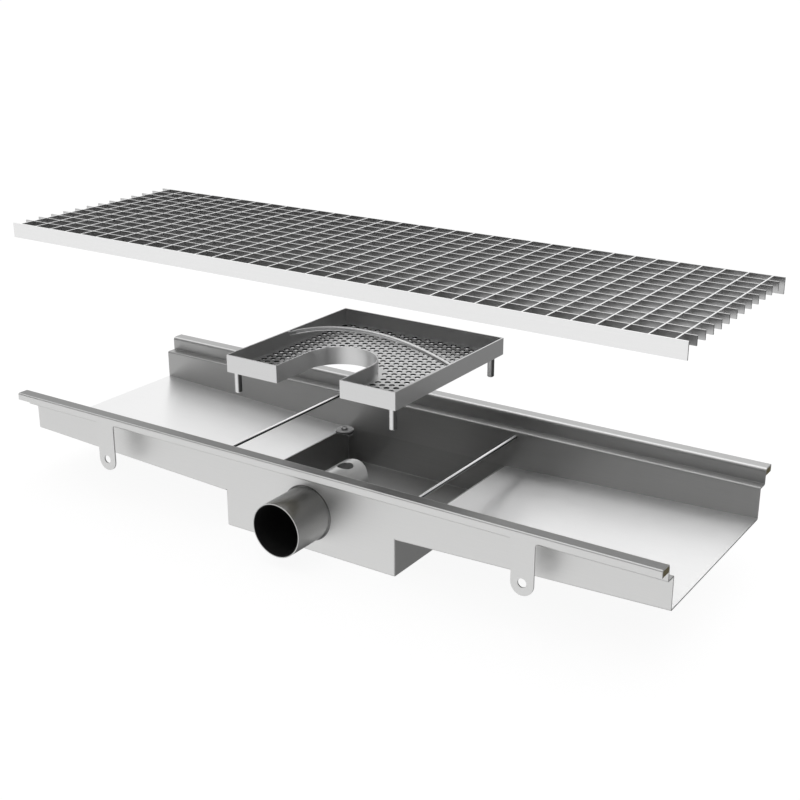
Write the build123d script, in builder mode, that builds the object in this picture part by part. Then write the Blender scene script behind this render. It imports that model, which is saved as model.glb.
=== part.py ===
"""Shallow channel drain with a sump at mid-length, its grating, basket and rodding plug lifted clear.

X runs along the channel, Y runs across it with the outlet on the minus side, and Z is up from
the underside of the sump. Sizes are in millimetres. The three lifts at the end of the sizes
are heights above the seats, so setting them to zero puts the drain together.
"""
import os
from math import asin, degrees, hypot, sqrt
from build123d import *

# Folded sheet and channel
sheet = 2.0
channel_length = 998.0
lower_half = 140.25
ledge_width = 15.25
rim_width = 18.4
rim_top = 128.9
lip_height = 10.0
ledge_depth = 22.6
floor_at_ends = 64.2
floor_at_sump = 51.0
rim_bend = 5.0
sheet_bend = 2.5
floor_bend = 2.5
overcut = 1.0

# Anchor tabs on both lips
tab_width = 30.0
tab_hole_dia = 11.5
tab_hole_drop = 63.9
tab_below_hole = 16.0
tab_left_x = -324.5
tab_right_x = 333.0
tab_root_fillet = 5.0

# Sump, outlet and water trap
sump_half = 137.0
pipe_dia = 73.0
pipe_wall = 2.0
outlet_height = 53.5
outlet_reach = 64.35
outlet_inside = 12.25
weld_leg = 2.0
trap_setback = 74.25
trap_clearance = 8.0

# Spreader rods under the ledges
rod_dia = 5.0
rod_beyond_sump = 14.5
rod_drop = 5.9

# Rodding eye in the crown of the trap, and its plug
eye_dia = 22.0
eye_beyond_trap = 11.0
plug_overlap = 1.0
cap_thickness = 2.0
seal_thickness = 0.8
screw_dia = 5.0
screw_head_dia = 8.6
screw_head_height = 2.6
screw_length = 8.5
clamp_length = 20.0
clamp_width = 8.0
clamp_thickness = 1.5
clamp_gap = 0.2

# Silt basket
basket_gap_x = 2.7
basket_gap_y = 6.3
basket_wall = 23.6
basket_corner = 0.5
slot_clearance = 13.0
hole_dia = 8.0
hole_pitch = 20.8
hole_margin = 12.0
leg_dia = 9.5
leg_length = 29.15
leg_inset = 10.0
back_leg_inset = 15.8
handle_dia = 6.0
handle_rise = 19.0
handle_drop = 4.6

# Grating
grating_gap = 2.2
bar = 2.0
infill_height = 11.2
cross_web = 1.5
cells_across = 13
cross_bars = 34

# Heights above the seats
plug_lift = 50.0
basket_lift = 187.75
grating_lift = 247.0

upper_half = lower_half + ledge_width
lip_half = upper_half + rim_width
ledge_under = rim_top - ledge_depth
seat_height = ledge_under + sheet
lip_bottom = rim_top - lip_height
tab_end_centre = rim_top - tab_hole_drop - tab_below_hole + tab_width / 2
wall_split = seat_height - 2 * floor_bend
inner_bend = sheet_bend - sheet
wall_inside = lower_half - sheet
pipe_r = pipe_dia / 2
half_length = channel_length / 2
CENTER_UP = (Align.CENTER, Align.MIN)
CENTER_DOWN = (Align.CENTER, Align.MAX)
os.makedirs("parts", exist_ok=True)

# Channel: one folded sheet with turned-down rims, seating ledges and a floor that falls
# from both ends to the opening over the sump. The anchor tabs are cut with the lips.
with BuildPart() as channel_trough:
    for side in (-1, 1):
        for x, under in ((side * half_length, floor_at_ends), (side * sump_half, floor_at_sump)):
            with BuildSketch(Plane.YZ.offset(x)):
                with Locations((0, under)):
                    Rectangle(2 * lower_half, wall_split - under, align=CENTER_UP)
                fillet(vertices().group_by(Axis.Y)[0], floor_bend)
                with Locations((0, under + sheet)):
                    Rectangle(2 * wall_inside, wall_split - under - sheet, align=CENTER_UP, mode=Mode.SUBTRACT)
                inner_corners = vertices().filter_by_position(Axis.Y, under + sheet - 0.01, under + sheet + 0.01)
                fillet(inner_corners, floor_bend - sheet)
        loft(ruled=True)

    for side in (-1, 1):
        with BuildSketch(Plane.XZ.offset(side * lower_half)):
            with Locations((0, floor_at_sump + floor_bend)):
                Rectangle(2 * sump_half, wall_split - floor_at_sump - floor_bend, align=CENTER_UP)
        extrude(amount=-side * sheet)

    with BuildSketch(Plane.YZ.offset(-half_length)):
        for side in (-1, 1):
            with BuildLine():
                Polyline(
                    (side * lip_half, lip_bottom),
                    (side * lip_half, rim_top),
                    (side * (upper_half - sheet), rim_top),
                    (side * (upper_half - sheet), seat_height),
                    (side * wall_inside, seat_height),
                    (side * wall_inside, wall_split),
                    (side * lower_half, wall_split),
                    (side * lower_half, ledge_under),
                    (side * upper_half, ledge_under),
                    (side * upper_half, rim_top - sheet),
                    (side * (lip_half - sheet), rim_top - sheet),
                    (side * (lip_half - sheet), lip_bottom),
                    close=True,
                )
            make_face()
        bends = (
            (lip_half, rim_top, sheet_bend),
            (wall_inside, seat_height, sheet_bend),
            (upper_half, ledge_under, sheet_bend),
            (upper_half - sheet, rim_top, rim_bend),
            (lip_half - sheet, rim_top - sheet, inner_bend),
            (lower_half, ledge_under, inner_bend),
            (upper_half - sheet, seat_height, inner_bend),
            (upper_half, rim_top - sheet, rim_bend - sheet),
        )
        for across, height, radius in bends:
            corner = [v for v in vertices() if abs(abs(v.X) - across) < 0.01 and abs(v.Y - height) < 0.01]
            fillet(corner, radius)
    extrude(amount=channel_length)

    for side in (-1, 1):
        for tab_x in (tab_left_x, tab_right_x):
            with BuildSketch(Plane.XZ.offset(side * lip_half)):
                with Locations((tab_x, lip_bottom)):
                    Rectangle(tab_width + 3 * tab_root_fillet, lip_height / 3, align=CENTER_UP)
                with Locations((tab_x, tab_end_centre)):
                    Rectangle(tab_width, lip_bottom - tab_end_centre, align=CENTER_UP)
                roots = [v for v in vertices() if abs(v.Y - lip_bottom) < 0.01 and abs(v.X - tab_x) < tab_width * 0.6]
                fillet(roots, tab_root_fillet)
                with Locations((tab_x, tab_end_centre)):
                    Circle(tab_width / 2)
                with Locations((tab_x, rim_top - tab_hole_drop)):
                    Circle(tab_hole_dia / 2, mode=Mode.SUBTRACT)
            extrude(amount=-side * sheet)

    with BuildSketch(Plane.XZ.offset(lower_half + overcut)):
        with Locations((0, outlet_height)):
            Circle(pipe_r)
    extrude(amount=-(sheet + 2 * overcut), mode=Mode.SUBTRACT)
channel_trough.part.label = "channel_trough"
export_step(channel_trough.part, "parts/channel_trough.step")

# Rim infills: bars that fill the hollow under each rim, flush with the channel's ends.
with BuildPart() as rim_infill_front:
    with BuildSketch(Plane.YZ.offset(-half_length)):
        with Locations((-(upper_half + lip_half - sheet) / 2, lip_bottom)):
            Rectangle(lip_half - sheet - upper_half, lip_height - sheet, align=CENTER_UP)
        fillet(vertices().group_by(Axis.Y)[-1].sort_by(Axis.X)[-1], rim_bend - sheet)
        fillet(vertices().group_by(Axis.Y)[-1].sort_by(Axis.X)[0], inner_bend)
    extrude(amount=channel_length)
rim_infill_front.part.label = "rim_infill_front"
export_step(rim_infill_front.part, "parts/rim_infill_front.step")

with BuildPart() as rim_infill_back:
    add(rim_infill_front.part)
    mirror(about=Plane.XZ, mode=Mode.REPLACE)
rim_infill_back.part.label = "rim_infill_back"
export_step(rim_infill_back.part, "parts/rim_infill_back.step")

# Spreader rods: round bars welded between the lower walls, either side of the sump.
for rod_side, rod_name in ((-1, "spreader_rod_left"), (1, "spreader_rod_right")):
    with BuildPart() as spreader_rod:
        with BuildSketch(Plane.XZ.offset(wall_inside)):
            with Locations((rod_side * (sump_half + rod_beyond_sump), ledge_under - rod_drop)):
                Circle(rod_dia / 2)
        extrude(amount=-2 * wall_inside)
    spreader_rod.part.label = rod_name
    export_step(spreader_rod.part, "parts/" + rod_name + ".step")

# Sump: a folded box butt-welded under the opening. Its front and back reach past the
# channel's floor bends, and its ends stop level with the channel floor.
with BuildPart() as sump_box:
    with BuildSketch():
        RectangleRounded(2 * sump_half, 2 * lower_half, sheet_bend)
    extrude(amount=floor_at_sump + floor_bend)
    fillet(faces().sort_by(Axis.Z)[0].edges(), sheet_bend)
    offset(amount=-sheet, openings=faces().sort_by(Axis.Z)[-1])
    with BuildSketch(Plane.XY.offset(floor_at_sump + sheet)):
        Rectangle(2 * (sump_half + overcut), 2 * (lower_half - floor_bend))
    extrude(amount=floor_bend, mode=Mode.SUBTRACT)
    with BuildSketch(Plane.XZ.offset(lower_half + overcut)):
        with Locations((0, outlet_height)):
            Circle(pipe_r)
    extrude(amount=-(sheet + 2 * overcut), mode=Mode.SUBTRACT)
sump_box.part.label = "sump_box"
export_step(sump_box.part, "parts/sump_box.step")

# Outlet: a horizontal pipe stub through the front wall, with a hollow fillet weld outside.
with BuildPart() as outlet_pipe:
    with BuildSketch(Plane.XZ.offset(lower_half + outlet_reach)):
        with Locations((0, outlet_height)):
            Circle(pipe_r)
            Circle(pipe_r - pipe_wall, mode=Mode.SUBTRACT)
    extrude(amount=-(outlet_reach + outlet_inside))
    with BuildSketch(Plane.YZ):
        with BuildLine():
            Polyline(
                (-lower_half - weld_leg, outlet_height + pipe_r),
                (-lower_half - weld_leg, outlet_height + pipe_r - pipe_wall / 2),
                (-lower_half, outlet_height + pipe_r - pipe_wall / 2),
                (-lower_half, outlet_height + pipe_r + weld_leg),
            )
            CenterArc((-lower_half - weld_leg, outlet_height + pipe_r + weld_leg), weld_leg, -90, 90)
        make_face()
    revolve(axis=Axis((0, 0, outlet_height), (0, 1, 0)))
outlet_pipe.part.label = "outlet_pipe"
export_step(outlet_pipe.part, "parts/outlet_pipe.step")

# Water trap: the same pipe mitred downwards over the sump floor, with a rodding eye on top.
trap_y = -(lower_half - trap_setback)
eye_y = trap_y + eye_beyond_trap
with BuildPart() as trap_elbow:
    with BuildLine():
        Polyline(
            (0, -lower_half + outlet_inside, outlet_height),
            (0, trap_y, outlet_height),
            (0, trap_y, sheet + trap_clearance),
        )
    with BuildSketch(Plane.XZ.offset(lower_half - outlet_inside)):
        with Locations((0, outlet_height)):
            Circle(pipe_r)
            Circle(pipe_r - pipe_wall, mode=Mode.SUBTRACT)
    sweep(transition=Transition.RIGHT)
    with BuildSketch(Plane.XY.offset(outlet_height + pipe_r / 2)):
        with Locations((0, eye_y)):
            Circle(eye_dia / 2)
    extrude(amount=pipe_r, mode=Mode.SUBTRACT)
trap_elbow.part.label = "trap_elbow"
export_step(trap_elbow.part, "parts/trap_elbow.step")

# Plug: a round cap on a saddle-shaped seal, drawn down by a screw into a curved clamp bar
# that bears on the inside of the pipe.
crown = outlet_height + pipe_r + plug_lift
plug_dia = eye_dia + 2 * plug_overlap
with BuildPart() as plug_seal:
    with BuildSketch(Plane.XY.offset(crown - cap_thickness * 2)):
        with Locations((0, eye_y)):
            Circle(plug_dia / 2)
            Circle(screw_dia / 2, mode=Mode.SUBTRACT)
    extrude(amount=cap_thickness * 2 + seal_thickness)
    with BuildSketch(Plane.XZ.offset(-eye_y - plug_dia)):
        with Locations((0, outlet_height + plug_lift)):
            Circle(pipe_r)
    extrude(amount=2 * plug_dia, mode=Mode.SUBTRACT)
plug_seal.part.label = "plug_seal"
export_step(plug_seal.part, "parts/plug_seal.step")

with BuildPart() as plug_cap:
    with BuildSketch(Plane.XY.offset(crown + seal_thickness)):
        with Locations((0, eye_y)):
            Circle(plug_dia / 2)
            Circle(screw_dia / 2, mode=Mode.SUBTRACT)
    extrude(amount=cap_thickness)
    chamfer(faces().sort_by(Axis.Z)[-1].outer_wire().edges(), cap_thickness / 4)
plug_cap.part.label = "plug_cap"
export_step(plug_cap.part, "parts/plug_cap.step")

cap_top = crown + seal_thickness + cap_thickness
with BuildPart() as plug_screw:
    with BuildSketch(Plane.XY.offset(cap_top)):
        with Locations((0, eye_y)):
            Circle(screw_head_dia / 2)
    extrude(amount=screw_head_height)
    chamfer(faces().sort_by(Axis.Z)[-1].edges(), screw_head_height / 3)
    with BuildSketch(Plane.XY.offset(cap_top + screw_head_height / 2)):
        with Locations((0, eye_y)):
            Rectangle(screw_head_dia * 0.5, screw_head_dia * 0.14)
            Rectangle(screw_head_dia * 0.14, screw_head_dia * 0.5)
    extrude(amount=screw_head_height, mode=Mode.SUBTRACT)
    with BuildSketch(Plane.XY.offset(cap_top - screw_length)):
        with Locations((0, eye_y)):
            Circle(screw_dia / 2)
    extrude(amount=screw_length)
    chamfer(faces().sort_by(Axis.Z)[0].edges(), screw_dia / 8)
plug_screw.part.label = "plug_screw"
export_step(plug_screw.part, "parts/plug_screw.step")

clamp_r = pipe_r - pipe_wall - clamp_gap
with BuildPart() as plug_clamp:
    with BuildSketch(Plane.XZ.offset(-eye_y - clamp_width / 2)):
        with Locations((0, outlet_height + plug_lift)):
            Circle(clamp_r)
            Circle(clamp_r - clamp_thickness, mode=Mode.SUBTRACT)
            Rectangle(clamp_length, pipe_dia, align=CENTER_UP, mode=Mode.INTERSECT)
    extrude(amount=clamp_width)
    with BuildSketch(Plane.XY.offset(outlet_height + plug_lift)):
        with Locations((0, eye_y)):
            Circle(screw_dia / 2)
    extrude(amount=pipe_r, mode=Mode.SUBTRACT)
plug_clamp.part.label = "plug_clamp"
export_step(plug_clamp.part, "parts/plug_clamp.step")

# Silt basket: a band of sheet round a perforated floor, slotted to pass round the trap.
basket_half_x = sump_half - sheet - basket_gap_x
basket_half_y = wall_inside - basket_gap_y
basket_z = sheet + leg_length + basket_lift
slot_half = pipe_r + slot_clearance
with BuildPart() as basket_frame:
    with BuildSketch(Plane.XY.offset(basket_z)):
        Rectangle(2 * basket_half_x, 2 * basket_half_y)
        with Locations((0, trap_y)):
            Rectangle(2 * slot_half, 2 * basket_half_y, align=CENTER_DOWN, mode=Mode.SUBTRACT)
            Circle(slot_half, mode=Mode.SUBTRACT)
        fillet([v for v in vertices() if abs(abs(v.Y) - basket_half_y) < 0.01], basket_corner)
        offset(amount=-sheet, mode=Mode.SUBTRACT)
    extrude(amount=basket_wall)
basket_frame.part.label = "basket_frame"
export_step(basket_frame.part, "parts/basket_frame.step")

# Basket floor: a perforated plate inside the band. Its holes are staggered at a wider pitch
# than the real plate's, and kept clear of the walls and of the slot.
hole_centres = []
for column in range(-12, 13):
    for row in range(-12, 13):
        hole_x = column * hole_pitch * sqrt(3) / 2
        hole_y = (row + 0.5 * (column % 2)) * hole_pitch
        inside = abs(hole_x) < basket_half_x - hole_margin and abs(hole_y) < basket_half_y - hole_margin
        from_slot = hypot(hole_x, max(hole_y - trap_y, 0))
        if inside and from_slot > slot_half + sheet + hole_dia * 0.75:
            hole_centres.append((hole_x, hole_y))
with BuildPart() as basket_floor:
    with BuildSketch(Plane.XY.offset(basket_z)):
        Rectangle(2 * (basket_half_x - sheet), 2 * (basket_half_y - sheet))
        with Locations((0, trap_y)):
            Rectangle(2 * (slot_half + sheet), 2 * basket_half_y, align=CENTER_DOWN, mode=Mode.SUBTRACT)
            Circle(slot_half + sheet, mode=Mode.SUBTRACT)
        with Locations(*hole_centres):
            RegularPolygon(hole_dia / 2, 8, mode=Mode.SUBTRACT)
    extrude(amount=sheet)
basket_floor.part.label = "basket_floor"
export_step(basket_floor.part, "parts/basket_floor.step")

# Handle: a round rod bowed over the basket and welded between its end walls.
span_half = basket_half_x - sheet
bow_height = handle_rise + handle_drop
bow_radius = (span_half**2 + bow_height**2) / (2 * bow_height)
bow_centre = basket_z + basket_wall + handle_rise - bow_radius
bow_angle = degrees(asin((span_half + sheet) / bow_radius))
with BuildPart() as basket_handle:
    with BuildLine(Plane.XZ) as bow:
        CenterArc((0, bow_centre), bow_radius, 90 - bow_angle, 2 * bow_angle)
    with BuildSketch(Plane(origin=bow.line @ 0, z_dir=bow.line % 0)):
        Circle(handle_dia / 2)
    sweep()
    with BuildSketch(Plane.YZ.offset(-span_half)):
        with Locations((0, basket_z)):
            Rectangle(4 * handle_dia, 4 * bow_height, align=CENTER_UP)
    extrude(amount=2 * span_half, mode=Mode.INTERSECT)
basket_handle.part.label = "basket_handle"
export_step(basket_handle.part, "parts/basket_handle.step")

# Legs: round bars welded under the corners of the basket floor, standing on the sump floor.
leg_half_x = basket_half_x - leg_inset
for leg_x, leg_y, leg_name in (
    (-leg_half_x, leg_inset - basket_half_y, "basket_leg_front_left"),
    (leg_half_x, leg_inset - basket_half_y, "basket_leg_front_right"),
    (-leg_half_x, basket_half_y - back_leg_inset, "basket_leg_back_left"),
    (leg_half_x, basket_half_y - back_leg_inset, "basket_leg_back_right"),
):
    with BuildPart() as basket_leg:
        with BuildSketch(Plane.XY.offset(basket_z - leg_length)):
            with Locations((leg_x, leg_y)):
                Circle(leg_dia / 2)
        extrude(amount=leg_length)
        chamfer(faces().sort_by(Axis.Z)[0].edges(), leg_dia / 8)
    basket_leg.part.label = leg_name
    export_step(basket_leg.part, "parts/" + leg_name + ".step")

# Grating: two full-height edge bars with a shallower mesh between them. The cross bars are
# slotted from above, and the infill bars lie in the slots with level top edges.
grating_half = upper_half - sheet - grating_gap
grating_z = seat_height + grating_lift
grating_height = rim_top - seat_height
cell_width = (2 * grating_half - bar) / cells_across
cell_length = channel_length / cross_bars
infill_ys = [(i - cells_across / 2) * cell_width for i in range(1, cells_across)]
for bar_side, bar_name in ((-1, "grating_front_bar"), (1, "grating_back_bar")):
    with BuildPart() as edge_bar:
        with BuildSketch(Plane.YZ.offset(-half_length)):
            with Locations((bar_side * (grating_half - bar / 2), grating_z)):
                Rectangle(bar, grating_height, align=CENTER_UP)
        extrude(amount=channel_length)
    edge_bar.part.label = bar_name
    export_step(edge_bar.part, "parts/" + bar_name + ".step")

with BuildPart() as grating_infill_bars:
    with BuildSketch(Plane.YZ.offset(-half_length)):
        with Locations(*[(y, grating_z + grating_height) for y in infill_ys]):
            Rectangle(bar, infill_height, align=CENTER_DOWN)
    extrude(amount=channel_length)
grating_infill_bars.part.label = "grating_infill_bars"
export_step(grating_infill_bars.part, "parts/grating_infill_bars.step")

with BuildPart() as one_cross_bar:
    with BuildSketch(Plane.YZ.offset(-half_length + (cell_length - bar) / 2)):
        with Locations((0, grating_z + grating_height)):
            Rectangle(2 * (grating_half - bar), infill_height + cross_web, align=CENTER_DOWN)
        with Locations(*[(y, grating_z + grating_height) for y in infill_ys]):
            Rectangle(bar, infill_height, align=CENTER_DOWN, mode=Mode.SUBTRACT)
    extrude(amount=bar)
with BuildPart() as grating_cross_bars:
    with Locations(*[(i * cell_length, 0, 0) for i in range(cross_bars)]):
        add(one_cross_bar.part)
grating_cross_bars.part.label = "grating_cross_bars"
export_step(grating_cross_bars.part, "parts/grating_cross_bars.step")
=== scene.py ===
import math

import bmesh
import bpy
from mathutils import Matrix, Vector


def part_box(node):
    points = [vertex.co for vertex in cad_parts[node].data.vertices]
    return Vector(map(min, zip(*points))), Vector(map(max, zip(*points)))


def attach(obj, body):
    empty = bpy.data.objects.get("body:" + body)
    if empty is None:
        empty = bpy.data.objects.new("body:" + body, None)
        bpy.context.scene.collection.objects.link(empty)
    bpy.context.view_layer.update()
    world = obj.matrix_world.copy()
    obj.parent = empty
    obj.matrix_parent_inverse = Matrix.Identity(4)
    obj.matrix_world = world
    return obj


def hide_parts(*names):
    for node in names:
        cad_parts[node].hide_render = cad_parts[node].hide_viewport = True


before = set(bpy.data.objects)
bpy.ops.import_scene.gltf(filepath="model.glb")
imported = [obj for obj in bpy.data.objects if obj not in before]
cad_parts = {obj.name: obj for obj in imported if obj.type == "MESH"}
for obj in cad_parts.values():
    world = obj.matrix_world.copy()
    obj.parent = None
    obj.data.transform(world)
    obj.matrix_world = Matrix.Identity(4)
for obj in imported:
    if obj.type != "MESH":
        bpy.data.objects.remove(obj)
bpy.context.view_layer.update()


# Channel trough. One long sheet of 2 mm stainless steel, folded into rims, seating ledges and
# a shallow floor that falls to the sump. It is pickled after folding, so the floor is matt,
# the
# walls are satin, and the rim tops keep the mill's closer shine. Its colour is painted by
# face:
# the channel floor pale as painted light, the inner walls and front rim top dark as painted
# shade.
grain_scale = 900.0
grain_stretch = 0.02
grain_span = (0.3, 0.7)


def object_position(tree):
    return tree.nodes.new("ShaderNodeTexCoord").outputs["Object"]


def face_normal(tree):
    return tree.nodes.new("ShaderNodeNewGeometry").outputs["Normal"]


def parts_of(tree, vector):
    """The X, Y and Z of a vector."""
    parts = tree.nodes.new("ShaderNodeSeparateXYZ")
    tree.links.new(vector, parts.inputs["Vector"])
    return parts.outputs


def rolled_grain(tree, along):
    """Fine lines left by the rolling mill, drawn out along one axis of the object."""
    mapping = tree.nodes.new("ShaderNodeMapping")
    mapping.inputs["Scale"].default_value = [
        grain_scale * (grain_stretch if axis == along else 1.0) for axis in "XYZ"
    ]
    tree.links.new(object_position(tree), mapping.inputs["Vector"])
    lines = tree.nodes.new("ShaderNodeTexNoise")
    lines.inputs["Scale"].default_value = 1.0
    lines.inputs["Detail"].default_value = 4.0
    lines.inputs["Roughness"].default_value = 0.6
    tree.links.new(mapping.outputs["Vector"], lines.inputs["Vector"])
    return lines.outputs["Fac"]


def between(tree, value, low, high, out_low, out_high):
    """Carries a value from one range to another, smoothly and without passing its ends."""
    node = tree.nodes.new("ShaderNodeMapRange")
    node.interpolation_type = "SMOOTHSTEP"
    node.inputs["From Min"].default_value = low
    node.inputs["From Max"].default_value = high
    node.inputs["To Min"].default_value = out_low
    node.inputs["To Max"].default_value = out_high
    tree.links.new(value, node.inputs["Value"])
    return node.outputs["Result"]


def math_of(tree, operation, first, second=0.0):
    node = tree.nodes.new("ShaderNodeMath")
    node.operation = operation
    for socket, value in zip(node.inputs, (first, second)):
        if isinstance(value, (int, float)):
            socket.default_value = value
        else:
            tree.links.new(value, socket)
    return node.outputs["Value"]


def shades(tree, value, dark, light):
    """A colour that runs from dark to light with a value from 0 to 1."""
    ramp = tree.nodes.new("ShaderNodeValToRGB")
    ramp.color_ramp.elements[0].color = (*dark, 1.0)
    ramp.color_ramp.elements[1].color = (*light, 1.0)
    tree.links.new(value, ramp.inputs["Fac"])
    return ramp.outputs["Color"]


def greys(tree, value, dark, light, warmth=0.0):
    """Shades of grey, with a little less blue where they are warm."""
    dark_grey, light_grey = ((level, level, level - warmth) for level in (dark, light))
    return shades(tree, value, dark_grey, light_grey)


def two_shades(tree, share, first, second):
    """The first colour, giving way to the second as the share goes from 0 to 1."""
    mixed = tree.nodes.new("ShaderNodeMix")
    mixed.data_type = "RGBA"
    tree.links.new(share, mixed.inputs["Factor"])
    tree.links.new(first, mixed.inputs["A"])
    tree.links.new(second, mixed.inputs["B"])
    return mixed.outputs["Result"]


def new_material(name, metallic):
    material = bpy.data.materials.new(name)
    material.use_nodes = True
    tree = material.node_tree
    shader = tree.nodes["Principled BSDF"]
    shader.inputs["Metallic"].default_value = metallic
    return material, tree, shader


def relief(tree, shader, height, strength, depth):
    bump = tree.nodes.new("ShaderNodeBump")
    bump.inputs["Strength"].default_value = strength
    bump.inputs["Distance"].default_value = depth
    tree.links.new(height, bump.inputs["Height"])
    tree.links.new(bump.outputs["Normal"], shader.inputs["Normal"])


def sheet_roughness(tree, grain, closer):
    """Roughness of pickled sheet, lower where its finish is closer."""
    open_face = between(tree, grain, *grain_span, 0.44, 0.48)
    return math_of(tree, "ADD", open_face, math_of(tree, "MULTIPLY", closer, -0.09))


def sheet_finish(tree, shader, grain, closer, roughness):
    """Spreads reflections across the rolling lines, as fine parallel scratches do."""
    tree.links.new(roughness, shader.inputs["Roughness"])
    relief(tree, shader, grain, strength=0.01, depth=0.0002)
    lines = tree.nodes.new("ShaderNodeCombineXYZ")
    lines.inputs["X"].default_value = 1.0
    tree.links.new(lines.outputs["Vector"], shader.inputs["Tangent"])
    shader.inputs["Anisotropic Rotation"].default_value = 0.25
    tree.links.new(math_of(tree, "MULTIPLY", closer, 0.85), shader.inputs["Anisotropic"])


def dressed(node, material):
    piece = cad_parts[node]
    piece.data.materials.clear()
    piece.data.materials.append(material)


floor_heights = (0.0675, 0.0715)
ledge_heights = (0.1060, 0.1066)
inner_face_offsets = (0.1394, 0.1547)
rim_height = 0.1280
trough_steel, tree, shader = new_material("pickled_trough_sheet", metallic=1.0)
grain = rolled_grain(tree, "X")
place = parts_of(tree, object_position(tree))
normal = parts_of(tree, face_normal(tree))
low = between(tree, place["Z"], *floor_heights, 1.0, 0.0)
flat = between(tree, normal["Z"], 0.90, 0.98, 0.0, 1.0)
channel_floor = math_of(tree, "MULTIPLY", low, flat)
inner_face = between(tree, place["Z"], *ledge_heights, *inner_face_offsets)
inside = math_of(tree, "LESS_THAN", math_of(tree, "ABSOLUTE", place["Y"]), inner_face)
high = math_of(tree, "GREATER_THAN", place["Z"], rim_height)
rim_top = math_of(tree, "MULTIPLY", flat, high)
in_front = math_of(tree, "LESS_THAN", place["Y"], 0.0)
front_rim_top = math_of(tree, "MULTIPLY", rim_top, in_front)
sheltered = math_of(tree, "MAXIMUM", inside, rim_top)
# Lit and shaded copies of the sheet: the channel floor is painted pale as painted light, and
# the inner walls and front rim top are painted dark as painted shade.
outer_shade = greys(tree, grain, 0.70, 0.76, warmth=0.005)
inner_shade = greys(tree, grain, 0.42, 0.48, warmth=0.003)
front_rim_shade = greys(tree, grain, 0.23, 0.28, warmth=0.002)
floor_shade = greys(tree, grain, 0.90, 0.96)
sheltered_shade = two_shades(tree, front_rim_top, inner_shade, front_rim_shade)
wall_shade = two_shades(tree, sheltered, outer_shade, sheltered_shade)
trough_shade = two_shades(tree, channel_floor, wall_shade, floor_shade)
tree.links.new(trough_shade, shader.inputs["Base Color"])
closer = math_of(tree, "MAXIMUM", sheltered, channel_floor)
smoother = math_of(tree, "MAXIMUM", rim_top, channel_floor)
smoothing = math_of(tree, "MULTIPLY", smoother, -0.06)
trough_roughness = math_of(tree, "ADD", sheet_roughness(tree, grain, closer), smoothing)
sheet_finish(tree, shader, grain, closer, trough_roughness)
dressed("channel_trough", trough_steel)


# Rim infills. Bars of a dull olive-brown filling pressed into the hollow under each rim, cut
# flush with the ends of the channel, where their granular cut faces show.
infill, tree, shader = new_material("olive_rim_filling", metallic=0.0)
grit = tree.nodes.new("ShaderNodeTexNoise")
grit.inputs["Scale"].default_value = 900.0
grit.inputs["Detail"].default_value = 3.0
tree.links.new(object_position(tree), grit.inputs["Vector"])
olive = shades(tree, grit.outputs["Fac"], (0.085, 0.072, 0.03), (0.20, 0.17, 0.085))
tree.links.new(olive, shader.inputs["Base Color"])
shader.inputs["Roughness"].default_value = 0.75
relief(tree, shader, grit.outputs["Fac"], strength=0.4, depth=0.0003)
for node in ("rim_infill_front", "rim_infill_back"):
    dressed(node, infill)


# Spreader rods. Two 5 mm drawn bars, welded across the channel under the ledges to hold its
# walls apart. They are smoother than the sheet, with painted light on top and painted shade
# below.
bar_roughness = (0.285, 0.30)


def satin_finish(name, along, roughness):
    """Steel with rolled lines in its roughness, which has yet to be given a colour."""
    steel, tree, shader = new_material(name, metallic=1.0)
    grain = rolled_grain(tree, along)
    satin = between(tree, grain, *grain_span, *roughness)
    tree.links.new(satin, shader.inputs["Roughness"])
    return steel, tree, shader, grain


def two_sided_bar(name, along, light, dark, axis, light_from, dark_from):
    """Drawn bar with painted light on one side and painted shade on the other, as its own
    normal turns along an axis.
    """
    steel, tree, shader, grain = satin_finish(name, along, bar_roughness)
    lit = greys(tree, grain, light - 0.04, light + 0.04)
    shaded = greys(tree, grain, dark, dark + 0.04)
    normal = parts_of(tree, face_normal(tree))
    share = between(tree, normal[axis], light_from, dark_from, 0.0, 1.0)
    tree.links.new(two_shades(tree, share, lit, shaded), shader.inputs["Base Color"])
    return steel


# Painted highlight on the rods' tops, and painted shade on their sides and undersides.
spreader_bar = two_sided_bar("spreader_bar", "Y", 0.92, 0.06, "Z", 0.65, 0.35)
for node in ("spreader_rod_left", "spreader_rod_right"):
    dressed(node, spreader_bar)


# Sump. A box folded from the same sheet and butt-welded under the channel's opening, with the
# seams ground flush outside.
sump_half_length = 0.1360
sump_half_width = 0.1392
sump_base_face = 0.001
sump_steel, tree, shader = new_material("sump_sheet", metallic=1.0)
grain = rolled_grain(tree, "X")
place = parts_of(tree, object_position(tree))
normal = parts_of(tree, face_normal(tree))
from_middle_x = math_of(tree, "ABSOLUTE", place["X"])
from_middle_y = math_of(tree, "ABSOLUTE", place["Y"])
inside = math_of(
    tree,
    "MULTIPLY",
    math_of(tree, "LESS_THAN", from_middle_x, sump_half_length),
    math_of(tree, "LESS_THAN", from_middle_y, sump_half_width),
)
above_base = math_of(tree, "GREATER_THAN", place["Z"], sump_base_face)
inside = math_of(tree, "MULTIPLY", inside, above_base)
# Painted light and shade by face: the long sides are painted light, and the short sides, the
# underside and the inside are painted shade.
long_side = math_of(tree, "GREATER_THAN", math_of(tree, "ABSOLUTE", normal["Y"]), 0.5)
short_side_shade = greys(tree, grain, 0.48, 0.54, warmth=0.005)
long_side_shade = greys(tree, grain, 0.70, 0.76, warmth=0.005)
inner_shade = greys(tree, grain, 0.38, 0.46, warmth=0.003)
outer_shade = two_shades(tree, long_side, short_side_shade, long_side_shade)
sump_shade = two_shades(tree, inside, outer_shade, inner_shade)
tree.links.new(sump_shade, shader.inputs["Base Color"])
sheet_finish(tree, shader, grain, inside, sheet_roughness(tree, grain, inside))
dressed("sump_box", sump_steel)
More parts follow.
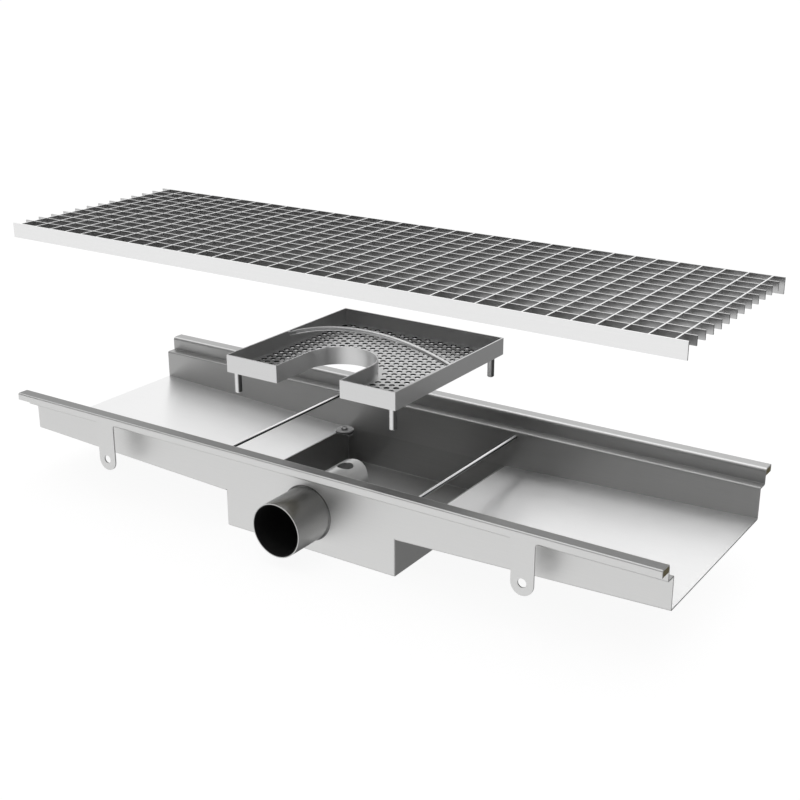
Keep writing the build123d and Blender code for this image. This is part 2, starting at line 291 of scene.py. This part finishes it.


# Outlet pipe and trap elbow. Welded stainless tube, brushed outside and left dull inside, with
# painted shade on its underside and, in the outlet, a near-black painted shade in the bore.
# The elbow is two lengths mitred together, and the pipe is welded into the front wall.
bore_edge = (0.0349, 0.0357)
weld_edge = (0.0367, 0.0372)
pipe_low, pipe_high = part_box("outlet_pipe")
trap_low, trap_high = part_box("trap_elbow")
pipe_axis = (pipe_low.z + pipe_high.z) / 2
trap_axis = trap_high.y - (trap_high.x - trap_low.x) / 2


def distance_from(tree, first, second, first_centre, second_centre):
    first_offset = math_of(tree, "SUBTRACT", first, first_centre)
    second_offset = math_of(tree, "SUBTRACT", second, second_centre)
    squares = math_of(
        tree,
        "ADD",
        math_of(tree, "MULTIPLY", first_offset, first_offset),
        math_of(tree, "MULTIPLY", second_offset, second_offset),
    )
    return math_of(tree, "SQRT", squares)


def tube_steel(name, mitred, bore_dark, bore_light):
    steel, tree, shader = new_material(name, metallic=1.0)
    grain = rolled_grain(tree, "X")
    place = parts_of(tree, object_position(tree))
    normal = parts_of(tree, face_normal(tree))
    x, y, z = (place[axis] for axis in "XYZ")
    radius = distance_from(tree, x, z, 0.0, pipe_axis)
    # Painted shade: the skin is painted dark on its underside.
    underneath = between(tree, normal["Z"], -0.75, -0.25, 1.0, 0.0)
    brushed = greys(tree, grain, 0.50, 0.60, warmth=0.005)
    skin = two_shades(tree, underneath, brushed, greys(tree, grain, 0.07, 0.11))
    if mitred:
        above_mitre = math_of(
            tree, "GREATER_THAN", math_of(tree, "SUBTRACT", z, y), pipe_axis - trap_axis
        )
        below_mitre = math_of(tree, "SUBTRACT", 1.0, above_mitre)
        upright = distance_from(tree, x, y, 0.0, trap_axis)
        radius = math_of(
            tree,
            "ADD",
            math_of(tree, "MULTIPLY", above_mitre, radius),
            math_of(tree, "MULTIPLY", below_mitre, upright),
        )
    else:
        on_weld = between(tree, radius, *weld_edge, 0.0, 1.0)
        skin = two_shades(tree, on_weld, skin, greys(tree, grain, 0.14, 0.20))
    outside = between(tree, radius, *bore_edge, 0.0, 1.0)
    bore = greys(tree, grain, bore_dark, bore_light)
    tree.links.new(two_shades(tree, outside, bore, skin), shader.inputs["Base Color"])
    bore_dullness = between(tree, outside, 0.0, 1.0, 0.35, 0.0)
    brushing = between(tree, grain, *grain_span, 0.29, 0.33)
    roughness = math_of(tree, "ADD", bore_dullness, brushing)
    tree.links.new(roughness, shader.inputs["Roughness"])
    return steel


# The outlet's bore is painted near black, as painted shade inside the pipe.
outlet_steel = tube_steel("outlet_tube", False, 0.04, 0.08)
dressed("outlet_pipe", outlet_steel)
trap_steel = tube_steel("trap_tube", True, 0.60, 0.72)
dressed("trap_elbow", trap_steel)


# Rodding plug. A small steel cap, screw and clamp bar with a black moulded seal between them,
# lifted out of the eye in the trap.
def satin_steel(name, along, dark, light, roughness):
    steel, tree, shader, grain = satin_finish(name, along, roughness)
    tree.links.new(greys(tree, grain, dark, light), shader.inputs["Base Color"])
    return steel


plug_steel = satin_steel("turned_plug", "X", 0.40, 0.48, (0.29, 0.34))
for node in ("plug_cap", "plug_screw", "plug_clamp"):
    dressed(node, plug_steel)
rubber, tree, shader = new_material("black_seal_rubber", metallic=0.0)
mottle = tree.nodes.new("ShaderNodeTexNoise")
mottle.inputs["Scale"].default_value = 400.0
tree.links.new(object_position(tree), mottle.inputs["Vector"])
mottling = mottle.outputs["Fac"]
tree.links.new(greys(tree, mottling, 0.015, 0.04), shader.inputs["Base Color"])
tree.links.new(between(tree, mottling, 0.3, 0.7, 0.55, 0.7), shader.inputs["Roughness"])
dressed("plug_seal", rubber)


# Silt basket. A band of sheet, 24 mm high and bent round the slot for the trap, carries a
# punched floor. A bowed rod is the handle, and four short bars under the corners are its legs.
basket_steel = satin_steel("basket_sheet", "X", 0.63, 0.68, (0.29, 0.31))
dressed("basket_frame", basket_steel)
handle_bar = satin_steel("drawn_bar", "Y", 0.66, 0.74, bar_roughness)
dressed("basket_handle", handle_bar)
# The legs have painted light on most of their faces and painted shade on the sides that face
# +X.
leg_bar = two_sided_bar("basket_leg_bar", "Z", 0.72, 0.14, "X", 0.45, 0.80)
for depth in ("front", "back"):
    for side in ("left", "right"):
        dressed(f"basket_leg_{depth}_{side}", leg_bar)


# Basket floor. A 2 mm plate punched with 8 mm round holes, staggered at 12.3 mm right up to
# the band, to hold back silt and let the water through.
floor_low, floor_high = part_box("basket_floor")
slot_half = 0.0515
slot_margin = 0.0055
slot_segments = 64
hole_radius = 0.004
hole_segments = 20
hole_reach = 0.1245
hole_pitch = 0.0123
column_pitch = hole_pitch * math.sqrt(3) / 2
columns = range(-12, 12)
rows = range(-11, 12)
plate = bmesh.new()
outline = []
for x, y in (
    (-slot_half, floor_low.y),
    (floor_low.x, floor_low.y),
    (floor_low.x, floor_high.y),
    (floor_high.x, floor_high.y),
    (floor_high.x, floor_low.y),
    (slot_half, floor_low.y),
):
    outline.append(plate.verts.new((x, y, floor_low.z)))


def ring(radius, segments, x, y):
    """A circle of edges at the level of the plate's underside."""
    made = bmesh.ops.create_circle(plate, cap_ends=False, segments=segments, radius=radius)
    bmesh.ops.translate(plate, verts=made["verts"], vec=(x, y, floor_low.z))
    return made["verts"]


end_verts = ring(slot_half, slot_segments, 0.0, trap_axis)
front_half = [v for v in end_verts if v.co.y < trap_axis - 0.0001]
bmesh.ops.delete(plate, geom=front_half, context="VERTS")
round_end = [v for v in end_verts if v.is_valid]
right_foot = max(round_end, key=lambda v: v.co.x)
left_foot = min(round_end, key=lambda v: v.co.x)
for first, second in zip(outline, outline[1:]):
    plate.edges.new((first, second))
plate.edges.new((outline[-1], right_foot))
plate.edges.new((left_foot, outline[0]))
for column in columns:
    for row in rows:
        x = (column + 0.5) * column_pitch
        y = (row + 0.5 * ((column + 1) % 2)) * hole_pitch
        from_slot = math.hypot(x, max(y - trap_axis, 0.0))
        if abs(y) < hole_reach and from_slot > slot_half + slot_margin:
            ring(hole_radius, hole_segments, x, y)
bmesh.ops.triangle_fill(plate, use_beauty=True, use_dissolve=False, edges=plate.edges[:])
raised = bmesh.ops.extrude_face_region(plate, geom=plate.faces[:], use_keep_orig=True)["geom"]
bmesh.ops.translate(
    plate,
    verts=[v for v in raised if isinstance(v, bmesh.types.BMVert)],
    vec=(0.0, 0.0, floor_high.z - floor_low.z),
)
bmesh.ops.recalc_face_normals(plate, faces=plate.faces[:])
plate_mesh = bpy.data.meshes.new("punched_basket_floor")
plate.to_mesh(plate_mesh)
plate.free()
punched_floor = bpy.data.objects.new("punched_basket_floor", plate_mesh)
bpy.context.collection.objects.link(punched_floor)
plate_steel = satin_steel("punched_plate", "X", 0.50, 0.58, bar_roughness)
plate_mesh.materials.append(plate_steel)
# The walls of the holes and the plate's outer edges are painted near black, as painted shade
# in the holes.
punched_edge = satin_steel("punched_hole_edge", "Z", 0.02, 0.04, (0.45, 0.6))
plate_mesh.materials.append(punched_edge)
for face in plate_mesh.polygons:
    if abs(face.normal.z) < 0.5:
        face.material_index = 1
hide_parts("basket_floor")
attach(punched_floor, "root")


# Grating. Two full-height edge bars with a shallower mesh between them. The long bars of the
# mesh lie in slots cut in the cross bars from above, so all the top edges are level.
def bar_steel(name, side, top, sheared_ends):
    """Flat bar painted lighter on top as painted light and, where asked, with its end faces
    painted near black, partly as duller sheared faces and partly as painted shade.
    """
    squarely = 0.9
    steel, tree, shader, grain = satin_finish(name, "X", bar_roughness)
    normal = parts_of(tree, face_normal(tree))
    facing_up = math_of(tree, "GREATER_THAN", normal["Z"], squarely)
    colour = two_shades(tree, facing_up, greys(tree, grain, *side), greys(tree, grain, *top))
    if sheared_ends:
        along_bar = math_of(tree, "ABSOLUTE", normal["X"])
        facing_out = math_of(tree, "GREATER_THAN", along_bar, squarely)
        colour = two_shades(tree, facing_out, colour, greys(tree, grain, 0.06, 0.12))
    tree.links.new(colour, shader.inputs["Base Color"])
    return steel


# The front edge bar is painted lighter than the back bar and the infill, as painted light.
edge_steel = bar_steel("grating_edge_bar", (0.82, 0.88), (0.92, 0.96), sheared_ends=True)
grating_steel = bar_steel("grating_flat_bar", (0.50, 0.57), (0.66, 0.74), sheared_ends=True)
cross_steel = bar_steel("grating_cross_bar", (0.50, 0.57), (0.88, 0.94), sheared_ends=False)
dressed("grating_front_bar", edge_steel)
dressed("grating_back_bar", grating_steel)
dressed("grating_infill_bars", grating_steel)
dressed("grating_cross_bars", cross_steel)


# Studio. A plain white floor that keeps a faint shadow, a grey room with a light and a dark
# side for the steel to mirror, one soft lamp overhead, and the camera of the photograph.
floor_mesh = bpy.data.meshes.new("studio_floor")
shape = bmesh.new()
bmesh.ops.create_grid(shape, x_segments=1, y_segments=1, size=40.0)
shape.to_mesh(floor_mesh)
shape.free()
studio_floor = bpy.data.objects.new("studio_floor", floor_mesh)
bpy.context.collection.objects.link(studio_floor)


def rays_of(tree, first, second):
    """1 for rays of either kind and 0 for all others."""
    rays = tree.nodes.new("ShaderNodeLightPath")
    return math_of(tree, "MAXIMUM", rays.outputs[first], rays.outputs[second])


def two_shaders(tree, share, first, second):
    mixed = tree.nodes.new("ShaderNodeMixShader")
    tree.links.new(share, mixed.inputs["Fac"])
    tree.links.new(first, mixed.inputs[1])
    tree.links.new(second, mixed.inputs[2])
    return mixed.outputs["Shader"]


paper = bpy.data.materials.new("white_paper_floor")
paper.use_nodes = True
tree = paper.node_tree
tree.nodes.clear()
matt = tree.nodes.new("ShaderNodeBsdfDiffuse")
matt.inputs["Color"].default_value = (0.85, 0.85, 0.85, 1.0)
glow = tree.nodes.new("ShaderNodeEmission")
glow.inputs["Strength"].default_value = 1.07
clear = tree.nodes.new("ShaderNodeBsdfTransparent")
seen = rays_of(tree, "Is Camera Ray", "Is Transmission Ray")
let_through = rays_of(tree, "Is Glossy Ray", "Is Shadow Ray")
glow_share = math_of(tree, "MULTIPLY", seen, 0.86)
pale = two_shaders(tree, glow_share, matt.outputs["BSDF"], glow.outputs["Emission"])
surface = two_shaders(tree, let_through, pale, clear.outputs["BSDF"])
output = tree.nodes.new("ShaderNodeOutputMaterial")
tree.links.new(surface, output.inputs["Surface"])
floor_mesh.materials.append(paper)

wall_range = (0.20, 0.85, 0.10, 1.0)
card_range = (0.0, 0.75, 0.30, 1.0)
ceiling_range = (0.42, 0.80, 0.0, 1.0)
ceiling_light = 1.1
room = bpy.data.worlds.new("grey_room")
bpy.context.scene.world = room
room.use_nodes = True
tree = room.node_tree
air = tree.nodes["Background"]
direction = parts_of(tree, tree.nodes.new("ShaderNodeTexCoord").outputs["Generated"])
leftward = math_of(tree, "MULTIPLY", direction["X"], -0.52)
backward = math_of(tree, "MULTIPLY", direction["Y"], 0.78)
toward_back = math_of(tree, "ADD", leftward, backward)
toward_front = math_of(tree, "SUBTRACT", leftward, backward)
wall_light = between(tree, toward_back, *wall_range)
card_light = between(tree, toward_front, *card_range)
overhead = between(tree, direction["Z"], *ceiling_range)
ceiling_share = math_of(tree, "MULTIPLY", overhead, ceiling_light)
wall_share = math_of(tree, "MULTIPLY", wall_light, math_of(tree, "SUBTRACT", 1.0, overhead))
upper_half = math_of(tree, "ADD", ceiling_share, wall_share)
above = math_of(tree, "GREATER_THAN", direction["Z"], 0.0)
below = math_of(tree, "SUBTRACT", 1.0, above)
upper_share = math_of(tree, "MULTIPLY", upper_half, above)
lower_share = math_of(tree, "MULTIPLY", card_light, below)
room_light = math_of(tree, "ADD", upper_share, lower_share)
seen = rays_of(tree, "Is Camera Ray", "Is Transmission Ray")
tree.links.new(math_of(tree, "MAXIMUM", room_light, seen), air.inputs["Color"])
air.inputs["Strength"].default_value = 1.0

lamp_data = bpy.data.lights.new("overhead_lamp", "AREA")
lamp_data.shape = "RECTANGLE"
lamp_data.size = 2.4
lamp_data.size_y = 2.0
lamp_data.energy = 10.0
lamp = bpy.data.objects.new("overhead_lamp", lamp_data)
bpy.context.collection.objects.link(lamp)
lamp_place = Vector((-0.6, 1.2, 2.6))
lamp_target = Vector((0.0, 0.0, 0.1))
lamp.location = lamp_place
lamp.rotation_euler = (lamp_target - lamp_place).to_track_quat("-Z", "Y").to_euler()

camera_dip = 0.35092
camera_turn = 0.58666
camera_data = bpy.data.cameras.new("photograph")
camera_data.lens = 58.40
camera_data.sensor_width = 36.0
camera = bpy.data.objects.new("photograph", camera_data)
bpy.context.collection.objects.link(camera)
camera.location = (0.9448, -1.34411, 0.7674)
camera.rotation_euler = (math.pi / 2 - camera_dip, 0.0, camera_turn)
bpy.context.scene.camera = camera
bpy.context.scene.view_settings.view_transform = "Standard"
